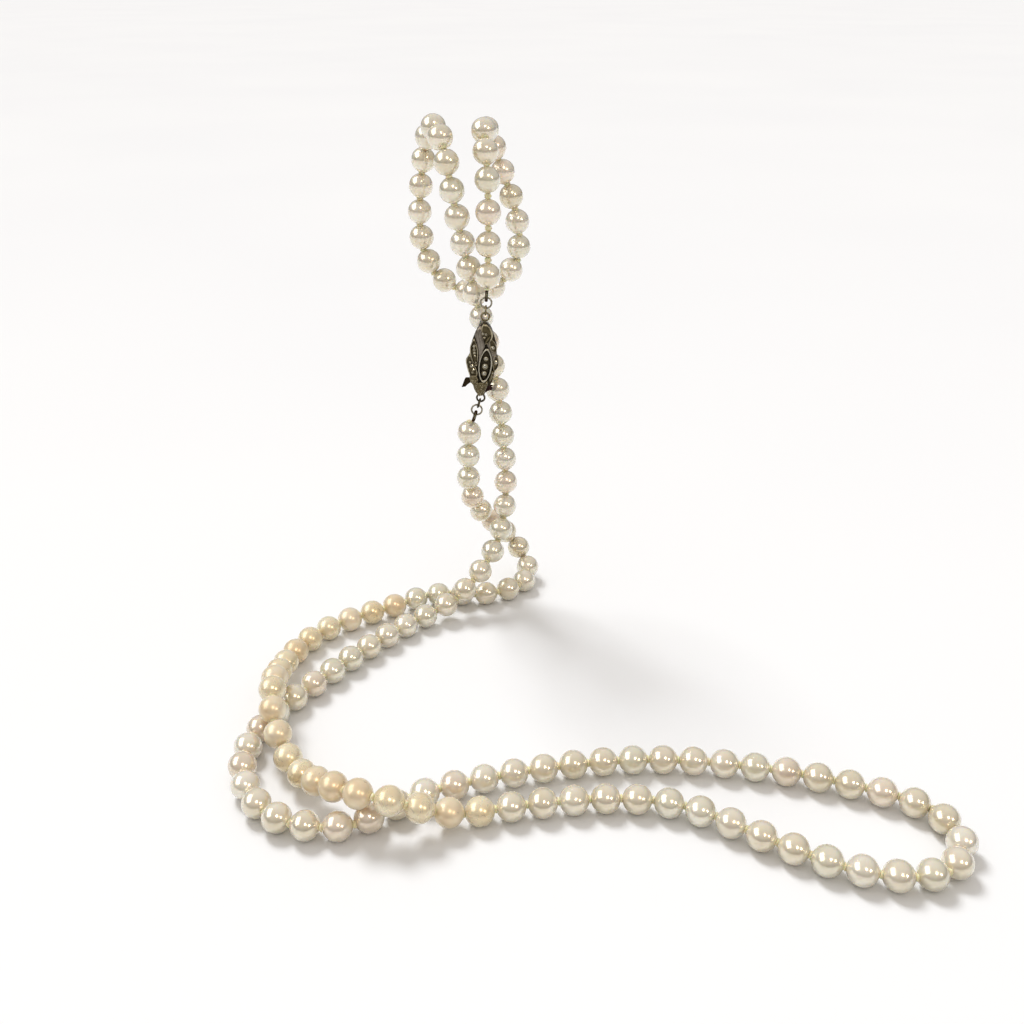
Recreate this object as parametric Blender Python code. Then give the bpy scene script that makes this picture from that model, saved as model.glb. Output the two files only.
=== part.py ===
"""Knotted single-strand pearl necklace with a marcasite tongue clasp, draped over an edge.

Metres, +Z up. The origin is the point of the edge that the left fall of the strand hangs on.
Run it with: blender --background --python part.py
"""

import math

import bpy
import bmesh
from mathutils import Matrix, Vector

MM = 0.001

# Pearls and thread
PEARL_RADIUS = 3.55
PEARL_PITCH = 7.3
LOOSE_PITCH = 8.4
LOOSE_GAPS = 3
PEARLS_PER_RUN = 4
PEARL_SIDES = 8
PEARL_LATITUDES = (62.0, 22.0)
END_PEARL_SIDES = 12
END_PEARL_LATITUDES = (68.0, 42.0, 14.0)
MAIN_PEARLS = 119
UPPER_PEARLS = 14
UPPER_END_PEARLS = 3
MAIN_END_PEARLS = 2
NECK_RADIUS = 0.6
BORE_RADIUS = 0.42
THREAD_RADIUS = 0.25

# The clasp's place: its centre, its lean about Y, and the extra lean of the chain below it
CLASP_CENTRE = (12.8, -15.4, -56.7)
CLASP_TILT = math.radians(3.8)
LOWER_LEAN = math.radians(14.0)

# Clasp findings: each ring's centre-line radius and wire radius
EYE_HEIGHT = 12.0
EYE_DEPTH = 0.9
EYE_RING = (1.12, 0.28)
LINK_RING = (1.25, 0.25)
JUMP_RING = (1.5, 0.25)
BULLION_WIRE = 0.45
BULLION_HALF_WIDTH = 1.05
RING_GAP = 0.1
FIRST_PEARL_DISTANCE = 11.4
RING_SEGMENTS = 16
WIRE_SEGMENTS = 6

# Clasp housing, front plate and navette setting
FRONT_OUTLINE = (
    (10.7, 0.6), (8.0, 2.4), (5.4, 3.7), (2.5, 4.25), (0.0, 4.65),
    (-2.5, 4.35), (-5.5, 3.35), (-8.0, 2.3), (-10.7, 0.7),
)
FRONT_BACK_Y = -1.0
FRONT_EDGE_Y = -1.5
FRONT_CROWN_Y = -2.2
FRONT_CROWN_SCALE = 0.62
HOUSING_OUTLINE = (
    (10.5, 0.6), (9.3, 1.7), (7.0, 2.7), (4.0, 3.5), (0.0, 3.9), (-4.0, 3.4), (-7.6, 2.25),
)
HOUSING_FRONT_Y = -0.9
HOUSING_BACK_Y = 1.75
CAVITY_HALF_WIDTH = 1.7
CAVITY_TOP = 7.0
CAVITY_BACK_Y = 1.3
MOUTH_Z = -7.6
TAB_NOTCH_TOP = -4.4
TAB_NOTCH_BACK_Y = 0.6
NAVETTE_CENTRE = (0.75, -1.1)
NAVETTE_HALF_LENGTH = 4.6
NAVETTE_HALF_WIDTH = 1.9
NAVETTE_RIM = 0.4
NAVETTE_BACK_Y = -2.3
NAVETTE_FRONT_Y = -3.0
STONE_RADIUS = 0.62
STONE_SPACING = 1.75
STONE_SIDES = 8

# Tongue: a flat blade and the sprung leaf folded in front of it
BLADE_OUTLINE = (
    (-1.3, 6.0), (-1.3, -7.75), (-1.9, -8.2), (-1.6, -9.3), (-0.7, -10.2), (-0.7, -10.45),
    (0.7, -10.45), (0.7, -10.2), (2.0, -9.6), (3.4, -8.8), (3.2, -7.9), (1.3, -7.75), (1.3, 6.0),
)
BLADE_FRONT_Y = 0.75
BLADE_BACK_Y = 1.1
LEAF_OUTLINE = (
    (-1.3, 5.7), (-1.3, -4.9), (-3.3, -5.6), (-4.6, -5.7), (-5.0, -6.6), (-5.6, -8.6),
    (-4.6, -8.4), (-3.4, -7.2), (-1.3, -6.7), (-0.8, -7.2), (0.8, -7.2), (1.3, -6.7), (1.3, 5.7),
)
LEAF_THICKNESS = 0.3
LEAF_HINGE = (0.5, 5.7)
LEAF_SLOPE = 0.0775

# The strand's route, in millimetres: pearl centres lie on a smooth curve through these points.
FLOOR_Z = -132.8
REST_Z = FLOOR_Z + PEARL_RADIUS
FALL_BELOW_CLASP = (
    (8.0, -14.2, -95.0), (10.2, -11.2, -104.5), (14.2, -6.6, -111.6), (19.4, -2.8, -118.6),
    (23.6, -2.8, -124.8), (26.2, -8.0, -128.9),
)
RETURN_ON_FLOOR = (
    (24.4, -15.2, REST_Z), (17.5, -21.0, REST_Z), (8.0, -23.0, REST_Z), (-2.0, -22.6, REST_Z),
    (-14.0, -29.6, REST_Z), (-30.0, -40.0, REST_Z), (-38.5, -52.0, REST_Z),
    (-41.0, -67.0, -126.5), (-39.8, -82.0, -121.5), (-37.3, -93.5, -124.2),
    (-31.5, -104.0, -128.6), (-25.6, -111.2, -126.3), (-18.8, -118.6, -122.8),
    (-11.2, -122.6, -121.7), (-4.0, -123.8, -122.8), (2.6, -122.2, -125.8),
    (9.6, -120.0, REST_Z), (29.5, -116.2, REST_Z),
    (48.0, -115.0, REST_Z), (62.0, -118.2, REST_Z), (77.0, -127.7, REST_Z),
    (92.0, -136.2, REST_Z),
)
END_LOOP = (
    (105.5, -139.0, REST_Z), (115.8, -135.8, REST_Z), (119.8, -127.0, REST_Z),
    (115.5, -118.0, REST_Z),
)
OUTWARD_ON_FLOOR = (
    (103.5, -111.3, REST_Z), (83.0, -104.6, REST_Z), (58.0, -101.0, REST_Z),
    (36.0, -102.8, REST_Z), (15.0, -107.8, REST_Z), (-2.5, -114.5, REST_Z),
    (-10.5, -121.2, REST_Z), (-20.0, -124.2, REST_Z), (-33.0, -120.8, REST_Z),
    (-41.5, -110.0, REST_Z), (-44.0, -98.0, REST_Z), (-40.2, -83.5, REST_Z),
    (-31.5, -69.2, REST_Z), (-17.5, -49.5, REST_Z), (-4.5, -35.4, REST_Z),
)
LEFT_FALL = (
    (4.6, -30.2, -126.2), (10.8, -25.2, -120.6), (16.0, -18.6, -114.8), (18.9, -11.8, -104.0),
    (18.6, -8.8, -88.0), (16.4, -8.2, -66.0), (12.0, -7.8, -46.0), (7.5, -8.8, -26.0),
    (4.4, -10.0, -9.0),
)
LEFT_CREST = (
    (2.4, -7.1, 0.6), (0.0, 0.0, PEARL_RADIUS), (-2.4, 7.1, 0.6),
)
LEFT_BACK_FALL = (
    (-4.4, 10.0, -9.0), (-5.6, 10.2, -22.0), (-4.4, 10.3, -33.0), (0.5, 10.3, -41.0),
    (9.0, 10.3, -44.5),
)
RIGHT_FALL = (
    (14.6, -12.4, -22.0), (14.4, -10.2, -8.0),
)
RIGHT_CREST = (
    (13.8, -7.1, 0.6), (13.4, 0.0, PEARL_RADIUS), (14.6, 7.1, 0.6),
)
RIGHT_BACK_FALL = (
    (18.0, 10.0, -9.0), (22.0, 10.2, -21.0), (22.8, 10.3, -32.0), (19.2, 10.3, -40.5),
    (10.0, 10.3, -44.5),
)
ROUTE_STEPS = 24


def clear_scene():
    for obj in list(bpy.data.objects):
        bpy.data.objects.remove(obj, do_unlink=True)


def make_material(name, colour, roughness, metallic):
    material = bpy.data.materials.new(name)
    material.use_nodes = True
    shader = material.node_tree.nodes["Principled BSDF"]
    shader.inputs["Base Color"].default_value = (*colour, 1.0)
    shader.inputs["Roughness"].default_value = roughness
    shader.inputs["Metallic"].default_value = metallic
    material.diffuse_color = (*colour, 1.0)
    return material


def add_mesh(name, mesh_data, material, sharp_angle=40.0):
    """Makes a node from a bmesh, whose lengths are millimetres, and returns it."""
    bmesh.ops.recalc_face_normals(mesh_data, faces=mesh_data.faces)
    bmesh.ops.scale(mesh_data, vec=(MM, MM, MM), verts=mesh_data.verts)
    mesh = bpy.data.meshes.new(name)
    mesh_data.to_mesh(mesh)
    mesh_data.free()
    mesh.materials.append(material)
    mesh.shade_smooth()
    mesh.set_sharp_from_angle(angle=math.radians(sharp_angle))
    obj = bpy.data.objects.new(name, mesh)
    bpy.context.scene.collection.objects.link(obj)
    return obj


def add_empty(name, matrix):
    """An empty at a frame given in millimetres, to parent the pieces that share it."""
    empty = bpy.data.objects.new(name, None)
    bpy.context.scene.collection.objects.link(empty)
    empty.matrix_world = Matrix.Translation(matrix.to_translation() * MM) @ matrix.to_3x3().to_4x4()
    return empty


def smooth_route(points):
    """A Catmull-Rom curve through the points, as a dense list of points kept above the floor."""
    knots = [Vector(p) for p in points]
    knots = [2 * knots[0] - knots[1], *knots, 2 * knots[-1] - knots[-2]]
    curve = []
    for before, start, end, after in zip(knots, knots[1:], knots[2:], knots[3:]):
        for step in range(ROUTE_STEPS):
            t = step / ROUTE_STEPS
            point = 0.5 * (
                2 * start + t * (end - before)
                + t * t * (2 * before - 5 * start + 4 * end - after)
                + t ** 3 * (3 * start - before - 3 * end + after)
            )
            point.z = max(point.z, REST_Z)
            curve.append(point)
    curve.append(knots[-2])
    return curve


def pearl_centres(points, pitches):
    """Centres a pitch apart along the route, the first at its first point."""
    curve = smooth_route(points)
    centres = [curve[0]]
    for start, end in zip(curve, curve[1:]):
        if len(centres) > len(pitches):
            break
        pitch = pitches[len(centres) - 1]
        if (end - centres[-1]).length >= pitch:
            low, high = 0.0, 1.0
            for _ in range(30):
                middle = (low + high) / 2
                if (start.lerp(end, middle) - centres[-1]).length < pitch:
                    low = middle
                else:
                    high = middle
            centres.append(start.lerp(end, high))
    return centres


def bore_points(centres):
    """Where the thread bends: the middle of each gap between pearls, and each end's hole."""
    inner = zip(centres, centres[1:], centres[2:])
    axes = [(after - before).normalized() for before, _, after in inner]
    axes = [(centres[1] - centres[0]).normalized(), *axes, (centres[-1] - centres[-2]).normalized()]
    points = [centres[0] - PEARL_RADIUS * axes[0]]
    for here, there, axis, next_axis in zip(centres, centres[1:], axes, axes[1:]):
        points.append((here + there + PEARL_RADIUS * (axis - next_axis)) / 2)
    points.append(centres[-1] + PEARL_RADIUS * axes[-1])
    return points


def seated_on_thread(centres, bends):
    """Moves each centre onto the straight thread between the bends on its two sides."""
    seated = []
    for centre, start, end in zip(centres, bends, bends[1:]):
        axis = (end - start).normalized()
        seated.append(start + (centre - start).dot(axis) * axis)
    return seated


class RingFrames:
    """Rings of vertices along a path, each turned as little as possible from the one before."""

    def __init__(self, mesh_data, sides):
        self.mesh_data = mesh_data
        self.sides = sides
        self.across = Vector((0.31, 0.17, 0.93))

    def ring(self, centre, normal, radius):
        across = self.across - self.across.dot(normal) * normal
        self.across = across.normalized()
        other = normal.cross(self.across)
        vertices = []
        for side in range(self.sides):
            angle = 2 * math.pi * side / self.sides
            offset = self.across * math.cos(angle) + other * math.sin(angle)
            vertices.append(self.mesh_data.verts.new(centre + radius * offset))
        return vertices


def bridge(mesh_data, rings, closed):
    pairs = list(zip(rings, rings[1:]))
    if closed:
        pairs.append((rings[-1], rings[0]))
    for first, second in pairs:
        sides = len(first)
        for side in range(sides):
            after = (side + 1) % sides
            mesh_data.faces.new((first[side], first[after], second[after], second[side]))


def add_pearls(name, centres, bends, first, last, material, sides, latitudes):
    """Pearls first to last, drilled along the thread and joined at the knots between them."""
    mesh_data = bmesh.new()
    frames = RingFrames(mesh_data, sides)
    angles = [-a for a in latitudes] + [a for a in reversed(latitudes)]
    face_distance = math.sqrt(PEARL_RADIUS ** 2 - NECK_RADIUS ** 2)
    outer, inner = [], []

    def axis_of(index):
        return (bends[index + 1] - bends[index]).normalized()

    def end_rings(index, side):
        centre = centres[index] + side * face_distance * axis_of(index)
        outer.append(frames.ring(centre, axis_of(index), NECK_RADIUS))
        inner.append(frames.ring(centre, axis_of(index), BORE_RADIUS))

    end_rings(first, -1)
    for index in range(first, last + 1):
        axis = axis_of(index)
        for angle in angles:
            height = PEARL_RADIUS * math.sin(math.radians(angle))
            radius = PEARL_RADIUS * math.cos(math.radians(angle))
            outer.append(frames.ring(centres[index] + height * axis, axis, radius))
        if index < last:
            normal = (axis + axis_of(index + 1)).normalized()
            outer.append(frames.ring(bends[index + 1], normal, NECK_RADIUS))
            inner.append(frames.ring(bends[index + 1], normal, BORE_RADIUS))
    end_rings(last, 1)
    bridge(mesh_data, outer + inner[::-1], closed=True)
    return add_mesh(name, mesh_data, material)


def add_thread(name, bends, material):
    """The silk that runs through every bore, as one closed tube."""
    mesh_data = bmesh.new()
    frames = RingFrames(mesh_data, 6)
    directions = [(b - a).normalized() for a, b in zip(bends, bends[1:])]
    normals = [(a + b).normalized() for a, b in zip(directions, directions[1:])]
    normals = [directions[0], *normals, directions[-1]]
    rings = [frames.ring(p, n, THREAD_RADIUS) for p, n in zip(bends, normals)]
    bridge(mesh_data, rings, closed=False)
    mesh_data.faces.new(rings[0])
    mesh_data.faces.new(rings[-1])
    return add_mesh(name, mesh_data, material)


def add_strand(prefix, centres, end_pearls, pearl_material, thread_material):
    """The pearls of one stretch and its thread: end pearls one by one, the others in runs."""
    bends = bore_points(centres)
    centres = seated_on_thread(centres, bends)
    for index in range(end_pearls):
        add_pearls(f"{prefix}_end_pearl_{index + 1}", centres, bends, index, index,
                   pearl_material, END_PEARL_SIDES, END_PEARL_LATITUDES)
    starts = range(end_pearls, len(centres), PEARLS_PER_RUN)
    for number, first in enumerate(starts, 1):
        last = min(first + PEARLS_PER_RUN, len(centres)) - 1
        add_pearls(f"{prefix}_pearl_run_{number:02d}", centres, bends, first, last,
                   pearl_material, PEARL_SIDES, PEARL_LATITUDES)
    add_thread(f"{prefix}_silk_thread", bends, thread_material)


def add_ring(name, ring, plane_axis, centre, parent, material, stretch=1.0):
    """A wire ring in the frame's XZ plane, or in its YZ plane, longer along Z by stretch."""
    ring_radius, wire_radius = ring
    mesh_data = bmesh.new()
    rings = []
    for step in range(RING_SEGMENTS):
        turn = 2 * math.pi * step / RING_SEGMENTS
        out = Vector((math.cos(turn), 0.0, math.sin(turn)))
        middle = Vector((ring_radius * math.cos(turn), 0.0, stretch * ring_radius * math.sin(turn)))
        vertices = []
        for side in range(WIRE_SEGMENTS):
            angle = 2 * math.pi * side / WIRE_SEGMENTS
            offset = out * math.cos(angle) + Vector((0.0, 1.0, 0.0)) * math.sin(angle)
            vertices.append(mesh_data.verts.new(middle + wire_radius * offset))
        rings.append(vertices)
    bridge(mesh_data, rings, closed=True)
    if plane_axis == "X":
        bmesh.ops.rotate(mesh_data, cent=(0, 0, 0), verts=mesh_data.verts,
                         matrix=Matrix.Rotation(math.pi / 2, 3, "Z"))
    obj = add_mesh(name, mesh_data, material, sharp_angle=180.0)
    obj.parent = parent
    obj.location = Vector(centre) * MM
    return obj


def link_distance():
    """How far the link's centre stands from the eye's, hooked through it with a small gap."""
    return EYE_RING[0] - EYE_RING[1] - RING_GAP - LINK_RING[1] + LINK_RING[0]


def jump_ring_distance():
    far_wire = link_distance() + LINK_RING[0]
    return far_wire - LINK_RING[1] - RING_GAP - JUMP_RING[1] + JUMP_RING[0]


def bullion_span():
    """Where the bullion loop's wire starts and ends along the chain, from the eye's centre."""
    far_wire = jump_ring_distance() + JUMP_RING[0]
    near = far_wire - JUMP_RING[1] - RING_GAP - BULLION_WIRE
    far = FIRST_PEARL_DISTANCE - PEARL_RADIUS - RING_GAP - BULLION_WIRE
    return near, far


def add_chain(prefix, frame, eye_parent, silver, bullion):
    """Eye, link, jump ring and bullion loop, along +Z of a frame at the eye's centre."""
    add_ring(f"{prefix}_eye", EYE_RING, "Y", (0, 0, 0), eye_parent, silver)
    add_ring(f"{prefix}_link", LINK_RING, "X", (0, 0, link_distance()), frame, silver)
    add_ring(f"{prefix}_jump_ring", JUMP_RING, "Y", (0, 0, jump_ring_distance()), frame, silver)
    near, far = bullion_span()
    half_length = (far - near) / 2
    add_ring(f"{prefix}_bullion_loop", (BULLION_HALF_WIDTH, BULLION_WIRE), "X",
             (0, 0, near + half_length), frame, bullion, half_length / BULLION_HALF_WIDTH)


def mirrored(outline):
    """Both sides of a shape given as (height, half width) from its top to its bottom."""
    right = [(half, height) for height, half in outline]
    left = [(-half, height) for height, half in reversed(outline)]
    return right + left


def prism(outline, front_y, back_y):
    """An (x, z) outline extruded from front_y to back_y, as a bmesh."""
    mesh_data = bmesh.new()
    front = [mesh_data.verts.new((x, front_y, z)) for x, z in outline]
    back = [mesh_data.verts.new((x, back_y, z)) for x, z in outline]
    bridge(mesh_data, [front, back], closed=False)
    mesh_data.faces.new(front)
    mesh_data.faces.new(back)
    return mesh_data


def box(low, high):
    outline = ((low[0], low[2]), (high[0], low[2]), (high[0], high[2]), (low[0], high[2]))
    return prism(outline, low[1], high[1])


def cut(obj, name, cutter_data, material):
    """Takes the cutter's shape out of a clasp piece."""
    cutter = add_mesh(name, cutter_data, material)
    cutter.parent = obj.parent
    cutter.hide_render = True
    cutter.display_type = "WIRE"
    modifier = obj.modifiers.new(name, "BOOLEAN")
    modifier.operation = "DIFFERENCE"
    modifier.solver = "EXACT"
    modifier.object = cutter


def add_housing(parent, silver):
    """The clasp's shallow box, open at its mouth, with a notch for the thumb tab."""
    outline = mirrored(HOUSING_OUTLINE)
    housing = add_mesh("clasp_housing", prism(outline, HOUSING_FRONT_Y, HOUSING_BACK_Y), silver)
    housing.parent = parent
    cavity = box((-CAVITY_HALF_WIDTH, HOUSING_FRONT_Y - 1, MOUTH_Z - 1),
                 (CAVITY_HALF_WIDTH, CAVITY_BACK_Y, CAVITY_TOP))
    cut(housing, "cavity_cutter", cavity, silver)
    notch = box((-6.0, HOUSING_FRONT_Y - 1, MOUTH_Z - 1), (0.0, TAB_NOTCH_BACK_Y, TAB_NOTCH_TOP))
    cut(housing, "tab_notch_cutter", notch, silver)


def add_front_plate(parent, silver):
    """The domed cover, with a flat crown that carries the navette setting."""
    outline = mirrored(FRONT_OUTLINE)
    crown = [(x * FRONT_CROWN_SCALE, z * FRONT_CROWN_SCALE) for x, z in outline]
    mesh_data = bmesh.new()
    rings = []
    for shape, y in ((outline, FRONT_BACK_Y), (outline, FRONT_EDGE_Y), (crown, FRONT_CROWN_Y)):
        rings.append([mesh_data.verts.new((x, y, z)) for x, z in shape])
    bridge(mesh_data, rings, closed=False)
    mesh_data.faces.new(rings[0])
    mesh_data.faces.new(rings[-1])
    add_mesh("clasp_front_plate", mesh_data, silver).parent = parent


def navette(half_length, half_width, steps=8):
    """A pointed oval outline, two arcs that meet at the tips."""
    centre_x, centre_z = NAVETTE_CENTRE
    right = []
    for step in range(steps):
        t = math.pi * step / steps
        right.append((half_width * math.sin(t) ** 1.3, half_length * math.cos(t)))
    left = [(-x, -z) for x, z in right]
    return [(centre_x + x, centre_z + z) for x, z in right + left]


def add_navette_bezel(parent, silver):
    outer = navette(NAVETTE_HALF_LENGTH, NAVETTE_HALF_WIDTH)
    inner = navette(NAVETTE_HALF_LENGTH - 2 * NAVETTE_RIM, NAVETTE_HALF_WIDTH - NAVETTE_RIM)
    mesh_data = bmesh.new()
    rings = []
    shapes = (
        (outer, NAVETTE_BACK_Y), (outer, NAVETTE_FRONT_Y),
        (inner, NAVETTE_FRONT_Y), (inner, NAVETTE_BACK_Y),
    )
    for shape, y in shapes:
        rings.append([mesh_data.verts.new((x, y, z)) for x, z in shape])
    bridge(mesh_data, rings, closed=True)
    add_mesh("navette_bezel", mesh_data, silver, sharp_angle=50.0).parent = parent


def add_marcasites(parent, stone):
    """Three round stones in a row down the navette, each a low faceted cone."""
    centre_x, centre_z = NAVETTE_CENTRE
    for name, place in (("top", 1), ("middle", 0), ("bottom", -1)):
        mesh_data = bmesh.new()
        bmesh.ops.create_cone(mesh_data, cap_ends=True, segments=STONE_SIDES,
                              radius1=STONE_RADIUS, radius2=STONE_RADIUS * 0.3, depth=0.6)
        bmesh.ops.rotate(mesh_data, cent=(0, 0, 0), verts=mesh_data.verts,
                         matrix=Matrix.Rotation(math.pi / 2, 3, "X"))
        obj = add_mesh(f"marcasite_{name}", mesh_data, stone, sharp_angle=10.0)
        obj.parent = parent
        middle_y = NAVETTE_BACK_Y - 0.35
        obj.location = Vector((centre_x, middle_y, centre_z + place * STONE_SPACING)) * MM


def add_tongue(parent, silver):
    """The blade, and the leaf folded in front of it, which turns about the fold."""
    blade = add_mesh("tongue_blade", prism(BLADE_OUTLINE, BLADE_FRONT_Y, BLADE_BACK_Y), silver)
    blade.parent = parent
    hinge_y, hinge_z = LEAF_HINGE
    outline = [(x, z - hinge_z) for x, z in LEAF_OUTLINE]
    leaf_data = prism(outline, -LEAF_THICKNESS / 2, LEAF_THICKNESS / 2)
    for vertex in leaf_data.verts:
        vertex.co.y += LEAF_SLOPE * vertex.co.z
    leaf = add_mesh("tongue_spring_leaf", leaf_data, silver)
    leaf.parent = parent
    leaf.location = Vector((0.0, hinge_y, hinge_z)) * MM


def clasp_frame():
    return Matrix.Translation(CLASP_CENTRE) @ Matrix.Rotation(CLASP_TILT, 4, "Y")


def upper_chain_frame():
    return clasp_frame() @ Matrix.Translation((0.0, EYE_DEPTH, EYE_HEIGHT))


def lower_chain_frame():
    """At the lower eye, with +Z down the chain."""
    eye = clasp_frame() @ Matrix.Translation((0.0, EYE_DEPTH, -EYE_HEIGHT))
    return eye @ Matrix.Rotation(math.pi + LOWER_LEAN, 4, "Y")


def first_pearl(frame):
    return frame @ Vector((0.0, 0.0, FIRST_PEARL_DISTANCE))


def build():
    clear_scene()
    pearl = make_material("pearl_nacre", (0.86, 0.81, 0.72), 0.18, 0.0)
    silk = make_material("silk_thread", (0.82, 0.75, 0.52), 0.75, 0.0)
    silver = make_material("oxidised_silver", (0.42, 0.39, 0.34), 0.35, 1.0)
    bright = make_material("bright_silver", (0.72, 0.70, 0.66), 0.2, 1.0)
    stone = make_material("marcasite", (0.30, 0.29, 0.26), 0.12, 1.0)
    bullion = make_material("bullion_wire", (0.14, 0.09, 0.06), 0.5, 1.0)

    clasp = add_empty("clasp_frame", clasp_frame())
    upper_chain = add_empty("upper_chain_frame", upper_chain_frame())
    lower_chain = add_empty("lower_chain_frame", lower_chain_frame())

    add_housing(clasp, silver)
    add_front_plate(clasp, silver)
    add_navette_bezel(clasp, bright)
    add_marcasites(clasp, stone)
    add_tongue(clasp, silver)
    add_chain("upper", upper_chain, upper_chain, bright, bullion)
    add_chain("lower", lower_chain, lower_chain, bright, bullion)

    main_route = (
        first_pearl(lower_chain_frame()), *FALL_BELOW_CLASP, *RETURN_ON_FLOOR, *END_LOOP,
        *OUTWARD_ON_FLOOR, *LEFT_FALL, *LEFT_CREST, *LEFT_BACK_FALL,
    )
    upper_route = (
        first_pearl(upper_chain_frame()), *RIGHT_FALL, *RIGHT_CREST, *RIGHT_BACK_FALL,
    )
    main_pitches = [PEARL_PITCH] * (MAIN_PEARLS - 1)
    upper_pitches = [LOOSE_PITCH] * LOOSE_GAPS + [PEARL_PITCH] * (UPPER_PEARLS - 1 - LOOSE_GAPS)
    main_centres = pearl_centres(main_route, main_pitches)
    upper_centres = pearl_centres(upper_route, upper_pitches)
    add_strand("main", main_centres, MAIN_END_PEARLS, pearl, silk)
    add_strand("upper", upper_centres, UPPER_END_PEARLS, pearl, silk)


build()
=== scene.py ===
"""Looks of the knotted pearl necklace: every pearl, the silk with its knots, the marcasite clasp,
its tongue and its findings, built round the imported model. Lengths are millimetres until a mesh
is finished, which scales it to metres.
"""

import random
from math import asin, cos, exp, pi, radians, sin, sqrt

import bmesh
import bpy
from mathutils import Matrix, Vector, noise


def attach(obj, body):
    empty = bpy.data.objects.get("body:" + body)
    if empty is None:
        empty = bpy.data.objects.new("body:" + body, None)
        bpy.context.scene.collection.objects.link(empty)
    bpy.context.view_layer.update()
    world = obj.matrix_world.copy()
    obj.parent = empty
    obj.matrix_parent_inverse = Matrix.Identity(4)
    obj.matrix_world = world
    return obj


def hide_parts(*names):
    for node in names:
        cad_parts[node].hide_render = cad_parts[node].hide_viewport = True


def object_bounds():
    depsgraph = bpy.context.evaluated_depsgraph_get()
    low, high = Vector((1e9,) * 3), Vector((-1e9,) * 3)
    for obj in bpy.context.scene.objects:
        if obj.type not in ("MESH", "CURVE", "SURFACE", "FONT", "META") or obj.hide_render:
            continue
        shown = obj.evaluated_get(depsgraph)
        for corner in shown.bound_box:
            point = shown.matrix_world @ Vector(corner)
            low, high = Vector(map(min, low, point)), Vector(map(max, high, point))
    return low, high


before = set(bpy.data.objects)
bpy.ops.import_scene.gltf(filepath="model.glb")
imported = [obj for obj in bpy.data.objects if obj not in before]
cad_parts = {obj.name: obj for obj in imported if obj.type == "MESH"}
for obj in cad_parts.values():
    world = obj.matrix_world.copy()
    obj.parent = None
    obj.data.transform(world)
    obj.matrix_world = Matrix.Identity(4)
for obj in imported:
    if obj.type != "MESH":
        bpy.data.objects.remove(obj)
cad_low, cad_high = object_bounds()

MM = 0.001
X_AXIS = Vector((1.0, 0.0, 0.0))
Y_AXIS = Vector((0.0, 1.0, 0.0))
SMOOTH = 180.0
STRAND = "strand_and_tongue"
HOUSING = "housing_end"

# Pearls and thread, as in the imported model
PEARL_RADIUS = 3.55
PEARL_PITCH = 7.3
LOOSE_PITCH = 8.4
LOOSE_GAPS = 3
PEARLS_PER_RUN = 4
MAIN_PEARLS = 119
UPPER_PEARLS = 14
BORE_RADIUS = 0.42
THREAD_RADIUS = 0.25
KNOT_RADIUS = 0.95
KNOT_HALF_LENGTH = 0.36
LOOSE_KNOT_HALF_LENGTH = 0.78
THREAD_SIDES = 14
PEARL_SIDES = 40
SATIN_PEARLS = range(15, 36)
MAIN_GAPS = [PEARL_PITCH] * (MAIN_PEARLS - 1)
UPPER_GAPS = [LOOSE_PITCH] * LOOSE_GAPS + [PEARL_PITCH] * (UPPER_PEARLS - 1 - LOOSE_GAPS)
SILK_LEAD_IN = 0.35
PLY_TWIST = 7.68
THREAD_LOBES = 3
THREAD_GROOVE = 0.05
KNOT_GROOVE = 0.16
PEARL_SIZES = (0.978, 0.997)
LEAST_ROUND = 0.982
RIPPLES = ((1.3, 0.008), (4.5, 0.0022))
HOLE_HEIGHT = 0.968
PROFILE_STEPS = 26

# The clasp's place and its chains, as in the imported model
CLASP_CENTRE = (12.8, -15.4, -56.7)
CLASP_TILT = radians(3.8)
LOWER_LEAN = radians(14.0)
EYE_HEIGHT = 12.0
EYE_DEPTH = 0.9
EYE_RING = (1.12, 0.28)
LINK_RING = (1.25, 0.25)
JUMP_RING = (1.5, 0.25)
BULLION_WIRE = 0.45
BULLION_HALF_WIDTH = 1.05
BULLION_TURNS = 34
COIL_STEPS = 12
COILED_WIRE = 0.105
WIRE_JOINT = 0.03
RING_GAP = 0.1
FIRST_PEARL_DISTANCE = 11.4
LINK_DISTANCE = EYE_RING[0] - EYE_RING[1] - RING_GAP - LINK_RING[1] + LINK_RING[0]
LINK_END = LINK_DISTANCE + LINK_RING[0] - LINK_RING[1] - RING_GAP
JUMP_DISTANCE = LINK_END - JUMP_RING[1] + JUMP_RING[0]
BULLION_NEAR = JUMP_DISTANCE + JUMP_RING[0] - JUMP_RING[1] - RING_GAP - BULLION_WIRE
BULLION_FAR = FIRST_PEARL_DISTANCE - PEARL_RADIUS - RING_GAP - BULLION_WIRE
BULLION_HALF_LENGTH = (BULLION_FAR - BULLION_NEAR) / 2
BULLION_DISTANCE = BULLION_NEAR + BULLION_HALF_LENGTH
CLASP = Matrix.Translation(CLASP_CENTRE) @ Matrix.Rotation(CLASP_TILT, 4, "Y")
UPPER_CHAIN = CLASP @ Matrix.Translation((0.0, EYE_DEPTH, EYE_HEIGHT))
# At the lower eye, with +Z down the chain
LOWER_CHAIN = (CLASP @ Matrix.Translation((0.0, EYE_DEPTH, -EYE_HEIGHT))
               @ Matrix.Rotation(pi + LOWER_LEAN, 4, "Y"))

# The strand's route: pearl centres lie on a smooth curve through these points
FLOOR_Z = -132.8
REST_Z = FLOOR_Z + PEARL_RADIUS


def on_floor(*points):
    """Pearl centres a pearl's radius above the floor."""
    return tuple((x, y, REST_Z) for x, y in points)


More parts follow.
